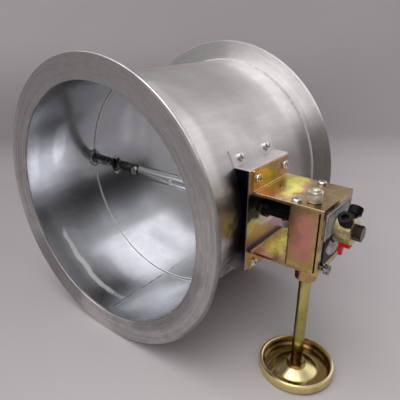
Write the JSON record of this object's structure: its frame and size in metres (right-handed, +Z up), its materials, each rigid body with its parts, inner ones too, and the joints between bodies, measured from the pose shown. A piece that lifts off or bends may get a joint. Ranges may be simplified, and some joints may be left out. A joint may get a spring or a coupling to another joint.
{
  "type": "manual volume damper",
  "caption": "Flanged round duct section with a disc blade on a cross shaft, turned by a worm gear in a bracket on its side and a dished handwheel.",
  "frame": {"origin": "centre of the inlet flange's face, on the duct's axis", "axes": "+Y along the duct from the inlet flange to the outlet flange, +X along the blade shaft to the gear, +Z up, against the way the handwheel's rod hangs"},
  "size_m": [0.2969, 0.175, 0.2401],
  "materials": {
    "galvanised_sheet": "satin galvanised sheet, mirror-like inside",
    "galvanised_flange": "brushed galvanised, grey-brown",
    "yellow_zinc": "yellow-passivated zinc, iridescent",
    "bush_steel": "turned",
    "zinc_fasteners": "bright zinc",
    "dark_steel": "dark bright-drawn",
    "black_oxide": "black oxide",
    "brass": "machined",
    "browned_steel": "browned",
    "gold_zinc": "polished gold-coloured passivated zinc",
    "red_paint": "painted",
    "dial_face": "printed metal plate"
  },
  "bodies": {
    "casing": {"duct_barrel": "galvanised_sheet", "inlet_flange": "galvanised_flange", "outlet_flange": "galvanised_flange", "far_boss": "galvanised_sheet", "far_bush": "bush_steel", "near_bush": "bush_steel", "pedestal": "galvanised_sheet", "pedestal_rivets": "zinc_fasteners", "yoke": "yellow_zinc", "yoke_screws": "zinc_fasteners", "yoke_nuts": "zinc_fasteners", "gear_housing": "yellow_zinc", "housing_screws": "zinc_fasteners", "end_bush": "bush_steel", "dial_plate": "dial_face", "rod_boss": "yellow_zinc", "end_plate_bolt": "zinc_fasteners"},
    "blade": {"blade_disc": "galvanised_sheet", "blade_shaft": "dark_steel", "shaft_strap": "zinc_fasteners", "strap_nuts": "zinc_fasteners", "blade_bolts": "zinc_fasteners", "blade_bolt_nuts": "zinc_fasteners", "blade_rivet": "zinc_fasteners", "drive_shaft": "dark_steel", "coupling_pin": "dark_steel", "worm_wheel": "brass", "wheel_pin": "dark_steel", "hub": "brass", "hub_screws": "black_oxide", "hub_bolt": "browned_steel", "pointer": "red_paint"},
    "handwheel": {"worm_shaft": "yellow_zinc", "top_nut": "zinc_fasteners", "handwheel_dish": "gold_zinc", "dish_nuts": "zinc_fasteners"}
  },
  "joints": [
    {"name": "blade", "type": "hinge", "parent": "casing", "child": "blade", "pos_m": [0, 0.0815, 0.003], "axis": [1, 0, 0], "range_deg": [0, 90]},
    {"name": "handwheel", "type": "hinge", "parent": "casing", "child": "handwheel", "pos_m": [0.1483, 0.067, 0], "axis": [0, 0, 1], "range_deg": [0, 1800]}
  ],
  "couplings": [
    {"joint": "handwheel", "follows": "blade", "ratio": 20}
  ]
}
